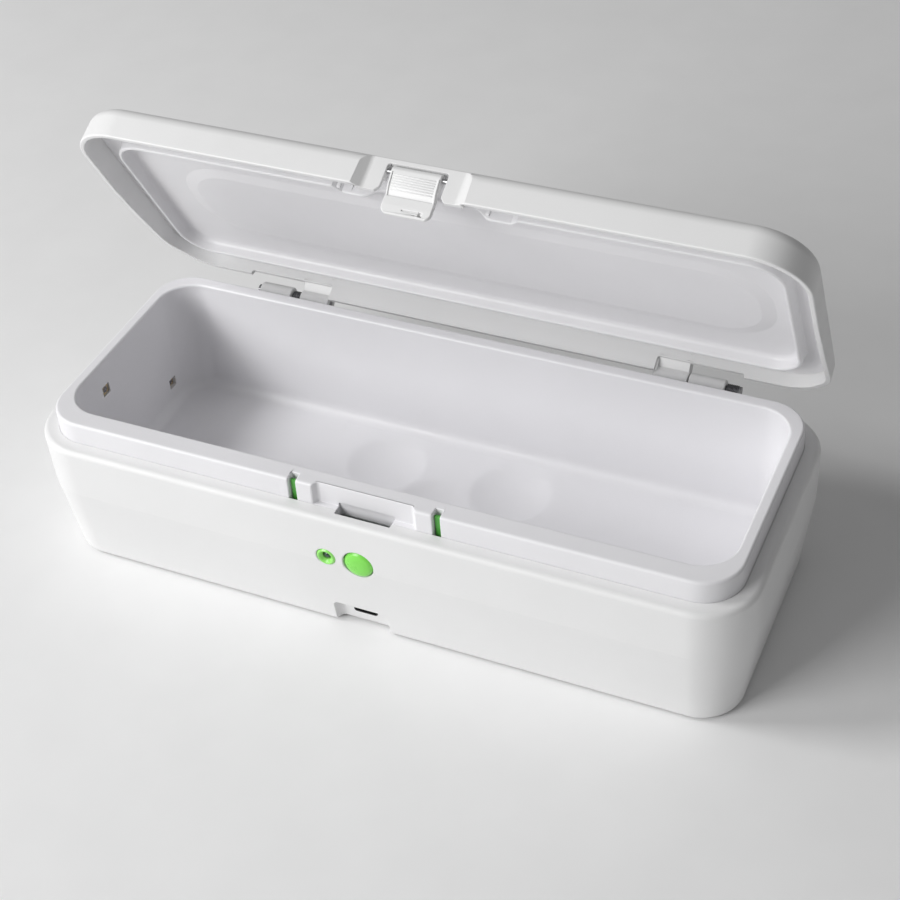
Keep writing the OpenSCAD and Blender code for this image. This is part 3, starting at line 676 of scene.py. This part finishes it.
# ---------------------------------------------------------------- lid
def step_plan(grow=0.0):
    return fil([(-21.5, -HY - 3, 0), (-18.6, -HY - 0.2, 2.0), (-15.2, -HY + 2.2 + grow, 2.6), (15.2, -HY + 2.2 + grow, 2.6), (18.6, -HY - 0.2, 2.0), (21.5, -HY - 3, 0)], seg=8)


def hinge_web(x0, x1):
    arc = [(AX_Y + 3 * math.cos(a), AX_Z + 3 * math.sin(a), 0) for a in [math.radians(d) for d in range(-196, 42, 9)]]
    pts = [(HY - 1.2, TOP - 6.6, 0.2)] + [(HY + 0.7, AX_Z + 2.2, 0.3)] + arc + [(HY + 1.5, TOP - 4.9, 0.8), (HY - 1.2, TOP - 4.7, 0.2)]
    return prism(fil(pts, seg=5, closed=True), x0, x1, 0.4, 3)


def lid_body():
    nc = 22
    rings = []
    for i, z in fil([(8.6, TOP - 2), (3.2, TOP - 2.6, 0.8), (1.9, TOP - 3.9, 0.8), (1.7, SKIRT, 0.45), (0.0, SKIRT, 0.5), (0.32, TOP - 0.35, 5.2), (9, TOP, 2)], seg=9):
        rings.append(rr(LID_L - 2 * i, BD - 2 * i, CR - i, z, nc=nc, mx=48, my=12))
    o = make("lid_body", *loft(rings, True, True))
    # wall behind the step and the latch's cheeks
    add = [make("_a", *block((-17.4, -HY + 1.4, SKIRT + 0.03), (17.4, -HY + 3.7, TOP - 1.6), 0.3))]
    for s in (-1, 1):
        lo, hi = sorted((s * 9.2, s * 12.4))
        add.append(make("_a", *block((lo, -HY + 1.4, TOP - 7.2), (hi, -HY + 5.6, TOP - 1.6), 0.3)))
    boolean(o, add, "UNION")
    cut = [make("_c", *loft([[(x, y, z) for x, y in step_plan()] for z in (SKIRT - 2, SKIRT + 20)], True, True))]
    # opening for the latch, rounded where its sides meet the skirt
    sl = fil([(-11.4, SKIRT - 3, 0), (-11.4, SKIRT - 0.2, 1.0), (-9.8, SKIRT + 1.6, 1.4), (-9.8, LP_Z + 2, 1.0), (9.8, LP_Z + 2, 1.0), (9.8, SKIRT + 1.6, 1.4), (11.4, SKIRT - 0.2, 1.0), (11.4, SKIRT - 3, 0)], seg=6)
    cut.append(make("_c", *loft([[(x, y, z) for x, z in sl] for y in (-HY - 2, -HY + 6.4)], True, True)))
    # notches in the back skirt over the hinges
    for x0, x1 in ((-88.4, -57.2), (60.6, 89.4)):
        cut.append(make("_c", *block((x0, HY - 3.4, SKIRT - 3), (x1, HY + 2, SKIRT + 4.9), 0.8)))
    # the skirt rises towards the back corners
    back = [(-12.0, SKIRT - 2)] + [(-12.0 + 51.5 * k / 14, SKIRT - 0.02 + (BACK_UP + 0.02) * (k / 14) ** 1.6) for k in range(15)] + [(HY + 2, SKIRT + BACK_UP), (HY + 2, SKIRT - 2)]
    for x0, x1 in ((-HX - 2, -88.2), (89.2, HX + 2)):
        cut.append(make("_c", *prism(back, x0, x1)))
    boolean(o, cut)
    edges(o, 0.3, 2, 42)
    lid_pose(o)
    return o


lid = lid_body()
place(lid, "lid", M_LID, "lid_plastic", "lid_shell")
for side, (x0, x1) in (("left", (-68.4, -57.4)), ("right", (60.8, 71.6))):
    k = make("lid_knuckle_" + side, *hinge_web(x0, x1))
    bore = []
    for xe in (x0, x1):
        v, f = revolve([(0, -1.2), (1.3, -1.2), (1.3, 1.2), (0, 1.2)], "z", (0, 0, 0), 32)
        bore.append(make("_c", [(z + xe, AX_Y + y, AX_Z + x) for x, y, z in v], f))
    boolean(k, bore)
    edges(k, 0.15, 2, 45)
    lid_pose(k)
    place(k, "lid", M_LID, "lid_plastic")


def liner():
    nc, mx, my = 18, 150, 40
    kw = dict(nc=nc, mx=mx, my=my)
    C, RZ = TOP - 3.9, TOP - 8.2
    ring_l, ring_d, ring_cy = 220.4, 71.0, 0.8
    plate = (LID_L - 4.2, BD - 4.2, CR - 2.1)
    path = []

    def put(base, cy, prof, shift=0, cx=0.0):
        for i, z in prof:
            path.append((rr(base[0] - 2 * i, base[1] - 2 * i, max(base[2] - i, 0.3), z, cy, cx, **kw), shift))

    put(plate, 0, [(1.6, C + 1.1), (0.3, C + 0.4), (0, C), (3.2, C)])
    # outside of the ring wall, its free edge, its inside
    ro = (ring_l, ring_d, 11.5)
    put(ro, ring_cy, fil([(-1.4, C), (0.0, C, 1.1), (0.45, RZ, 0.85), (1.75, RZ, 0.85), (1.95, C, 2.2), (5.6, C)], seg=7), 1)
    # soft step down to the raised panel
    pl = (198.0, 45.0, 20.0)
    put(pl, ring_cy, fil([(-0.8, C), (0, C, 0.8), (4.4, C - 0.8, 2.4), (7.0, C - 0.8)], seg=6), 0, 4.0)
    i = 8.0
    while pl[1] / 2 - i > 0.9:
        path.append((rr(pl[0] - 2 * i, pl[1] - 2 * i, max(pl[2] - i, 0.4), C - 0.8, ring_cy, 4.0, **kw), 0))
        i += 2.0
    rings = []
    for pts, shift in path:
        if shift:
            q = []
            for x, y, z in pts:
                if y < ring_cy - ring_d / 2 + 7.5:
                    y += 2.7 * (1 - smooth(27.4, 30.4, abs(x)))
                    z = C - (C - z) * (0.30 + 0.70 * smooth(15.0, 21.0, abs(x)))
                q.append((x, y, z))
            pts = q
        rings.append(pts)
    o = make("lid_panel", *loft(rings, True, True))
    cut = [make("_c", *block((-17, -HY - 2, RZ - 2), (17, -HY + 6.6, TOP + 2), 0.5))]
    boolean(o, cut)
    clean(o.data, 36)
    weighted(o)
    parts = []
    for s in (-1, 1):
        parts.append(block((s * SLOT_X - 0.65, -HY + 5.4, SKIRT + 0.4), (s * SLOT_X + 0.65, -HY + 6.4, C + 0.4), 0.3))
    f = make("lid_fins", *join(parts))
    lid_pose(o)
    lid_pose(f)
    return o, f


panel, fins = liner()
place(panel, "lid", M_LINER, "liner_plastic", "lid_liner")
place(fins, "lid", M_LINER, "liner_plastic")


# ---------------------------------------------------------------- latch
def latch():
    w = 8.0
    z0 = SHOULDER
    prof = fil([
        (LP_Y - 1.8, LP_Z, 1.0), (-HY + 1.95, TOP - 5.4, 0.8), (-HY + 2.85, z0 + 3.4, 3), (-HY + 4.2, z0 + 0.75, 0.3),
        (-HY + 3.84, z0 + 0.4, 0.4), (-HY + 3.86, z0 - 2.2, 3), (-HY + 4.1, z0 - 4.7, 0.6), (-HY + 4.6, z0 - 5.1, 0.3), (-HY + 5.6, z0 - 5.1, 0.4),
        (-HY + 5.7, z0 + 0.1, 2.0), (-HY + 5.0, z0 + 4, 3),
    ] + [(LP_Y + 1.8 * math.cos(a), LP_Z + 1.8 * math.sin(a), 0) for a in [math.radians(d) for d in range(0, 171, 10)]], seg=6, closed=True)
    o = make("latch_plate", *prism(prof, -w, w))
    # rounded lower corners
    zc, h = (z0 - 5.15 + LP_Z + 6) / 2, LP_Z + 6 - z0 + 5.15
    plan = rr(2 * w + 0.1, h, 2.4, 0, nc=10)
    boolean(o, [make("_c", *loft([[(x, y, z + zc) for x, z, _ in plan] for y in (-HY - 2, -HY + 9)], True, True))], "INTERSECT")
    cut = []
    # thin slot over the lip, and its drain notch
    cut.append(make("_c", *block((-1.2, -HY + 0.5, z0 - 3.55), (5.0, -HY + 4.4, z0 - 3.2), 0.1)))
    cut.append(make("_c", *block((4.2, -HY + 0.5, z0 - 4.2), (5.3, -HY + 4.8, z0 - 3.1), 0.1)))
    boolean(o, cut)
    edges(o, 0.3, 3, 44)
    parts = []
    # grip ribs
    for i in range(7):
        z = TOP - 5.9 - i * 0.72
        y = -HY + (1.95 + 0.25 * (TOP - 5.4 - z) if z > z0 + 3.4 else 2.85 + 0.5 * (z0 + 3.4 - z)) - 0.02
        pr = [(y - 0.16 * math.sin(math.pi * k / 6), z + 0.2 * math.cos(math.pi * k / 6)) for k in range(7)] + [(y + 0.3, z - 0.2), (y + 0.3, z + 0.2)]
        parts.append(prism(pr, -w + 1.2, w - 1.2, 0.12, 2))
    # raised borders along both sides
    for s in (-1, 1):
        line = [(-HY + 1.62, TOP - 5.2), (-HY + 2.5, z0 + 3.4), (-HY + 3.75, z0 + 0.9), (-HY + 3.86, z0 + 0.35)]
        back = [(y + 0.6, z) for y, z in reversed(line)]
        lo, hi = sorted((s * (w - 0.2), s * (w - 0.75)))
        parts.append(prism(line + back, lo, hi, 0.18, 2))
    r = make("latch_ribs", *join(parts))
    lid_pose(o)
    lid_pose(r)
    return o, r


plate, ribs = latch()
place(plate, "latch_plate", M_LATCH, "latch_plastic", "latch")
place(ribs, "latch_plate", M_LATCH, "latch_plastic")


# ---------------------------------------------------------------- springs
def coil(x0, x1, turns, r, w, lead_in=None, lead_out=None):
    pts = []
    n = int(turns * 28)
    for i in range(n + 1):
        a = 2 * math.pi * turns * i / n
        pts.append((x0 + (x1 - x0) * i / n, AX_Y + r * math.sin(a), AX_Z + r * math.cos(a)))
    if lead_in:
        pts = lead_in + pts
    if lead_out:
        pts = pts + lead_out
    return tube(pts, w, 10)


def spring(name, x0, turns, node):
    w = 0.27
    x1 = x0 + turns * 2.02 * w
    leg = [(x0, HY + 0.35, AX_Z - 4.7), (x0, AX_Y - 1.9, AX_Z - 1.9), (x0, AX_Y - 1.45, AX_Z + 0.9)]
    o = make(name, *coil(x0, x1, turns, 1.75, w, leg))
    place(o, "base", M_SPRING, "spring_steel", node)


spring("torsion_spring_left", -71.5, 5.6, "hinge_spring_left")
spring("torsion_spring_right", 84.6, 6.6, "hinge_spring_right")


# ---------------------------------------------------------------- underside
parts = []
for x, y in ((-78, -27), (78, -27), (-78, 27), (78, 27), (0, 0)):
    pr = fil([(0, 0.12), (2.6, 0.12, 0.1), (3.0, 0.0, 0.15), (4.85, 0.0, 0.35), (5.1, 0.6, 0.2), (5.1, 1.18, 0), (0, 1.18)], seg=5)
    parts.append(revolve([(max(r, 0), h) for r, h in pr], "z", (x, y, 0), 56))
o = make("foot_pads", *join(parts))
place(o, "base", M_RUBBER, "foot_rubber", "feet")

# ---------------------------------------------------------------- light windows
for side, s in (("left", -1), ("right", 1)):
    gilt, glass = [], []
    for y, z in LED_YZ:
        xf = 111.1
        for a, b, c, d in ((-1.7, -1.35, -1.7, 1.7), (1.35, 1.7, -1.7, 1.7), (-1.35, 1.35, -1.7, -1.35), (-1.35, 1.35, 1.35, 1.7)):
            lo, hi = (xf - 0.06, y + a, z + c), (xf + 0.1, y + b, z + d)
            if s < 0:
                lo, hi = (-hi[0], lo[1], lo[2]), (-lo[0], hi[1], hi[2])
            gilt.append(block(lo, hi, 0.03, 2, 2))
        v, f = revolve(fil([(0, 0.22), (0.9, 0.18, 0.5), (1.28, 0.0, 0.1), (1.28, -0.1, 0), (0, -0.1)], seg=5), "z", (0, 0, 0), 40)
        glass.append(([(s * (xf - 0.1 - zz), y + xx, z + yy) for xx, yy, zz in v], f))
    o = make("led_frames_" + side, *join(gilt))
    place(o, "base", M_GILT, "led_ceramic")
    o = make("led_windows_" + side, *join(glass))
    place(o, "base", M_QUARTZ, "led_ceramic")

# ---------------------------------------------------------------- carried-over nodes
MATS = {
    "bottom_cover": M_COVER, "case_screws": M_SCREW, "main_board": M_BOARD, "push_switch": M_BLACK, "control_chip": M_BLACK,
    "board_screws": M_SCREW, "port_board": M_BOARD, "charging_socket": M_SOCKET, "led_board_left": M_BOARDW,
    "led_board_right": M_BOARDW, "uv_leds_left": M_LED, "uv_leds_right": M_LED, "lid_switches": M_BLACK,
    "interlock_springs": M_SPRING, "wires_left": M_WIRE, "wires_right": M_WIRE, "hinge_pin_left": M_PIN,
    "hinge_pin_right": M_PIN, "interlock_left": M_SLIDER, "interlock_right": M_SLIDER, "latch_pin": M_SCREW,
    "latch_spring": M_SPRING,
}
for name, mat in MATS.items():
    o = NODES[name]
    o.data.materials.clear()
    o.data.materials.append(mat)
for name, w in (("bottom_cover", 0.3), ("case_screws", 0.15), ("interlock_left", 0.25), ("interlock_right", 0.25), ("charging_socket", 0.12)):
    m = NODES[name].modifiers.new("soft", "BEVEL")
    m.width = w * MM
    m.segments = 2
    m.limit_method = "ANGLE"
    m.angle_limit = math.radians(50)

# ---------------------------------------------------------------- floor, light, camera
fl = bpy.data.meshes.new("studio_floor")
fl.from_pydata([(-3, -3, 0), (3, -3, 0), (3, 3, 0), (-3, 3, 0)], [], [(0, 1, 2, 3)])
floor = bpy.data.objects.new("studio_floor", fl)
scene.collection.objects.link(floor)
mat = bpy.data.materials.new("floor_pale")
nt, b = nodes_of(mat)
nz = noise(nt, 40.0, 2.0)
nt.links.new(ramp(nt, nz.outputs["Fac"], 0.3, 0.7, grey(0.88), grey(0.90)), b.inputs["Base Color"])
b.inputs["Roughness"].default_value = 0.9
fl.materials.append(mat)
floor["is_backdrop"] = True

world = bpy.data.worlds.new("studio")
scene.world = world
world.use_nodes = True
bg = world.node_tree.nodes["Background"]
bg.inputs["Color"].default_value = (1.0, 1.0, 1.0, 1)
bg.inputs["Strength"].default_value = 0.20


def area(name, at, to, size, power, size_y=None):
    d = bpy.data.lights.new(name, "AREA")
    d.shape = "RECTANGLE"
    d.size = size
    d.size_y = size_y or size
    d.energy = power
    o = bpy.data.objects.new(name, d)
    scene.collection.objects.link(o)
    at, to = Vector(at), Vector(to)
    o.location = at
    o.rotation_euler = (to - at).to_track_quat("-Z", "Y").to_euler()
    return o


area("key", (-0.80, -1.18, 0.78), (0, 0, 0.04), 0.8, 15.5)
area("high", (-0.98, -0.36, 1.02), (0, 0, 0.02), 0.38, 7.4)

rv = Vector((2.209884, 0.428960, -0.296533))
t = Vector((-4.769980, 50.427827, 517.159735)) * 1.2 * MM
R = Matrix.Rotation(rv.length, 3, rv.normalized())
loc = -(R.transposed() @ t)
cam_data = bpy.data.cameras.new("camera")
cam = bpy.data.objects.new("camera", cam_data)
scene.collection.objects.link(cam)
rot = Matrix((R[0], -R[1], -R[2])).transposed()
cam.matrix_world = Matrix.Translation(loc) @ rot.to_4x4()
cam_data.sensor_width = 36.0
cam_data.lens = 1867.81 / 900 * 36.0
cam_data.shift_x = 0.0
cam_data.shift_y = -0.1
cam_data.clip_start = 0.01
cam_data.clip_end = 20
scene.camera = cam

scene.view_settings.view_transform = "Standard"
scene.view_settings.look = "None"
scene.view_settings.exposure = 0.0

bpy.context.view_layer.update()
lo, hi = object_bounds()
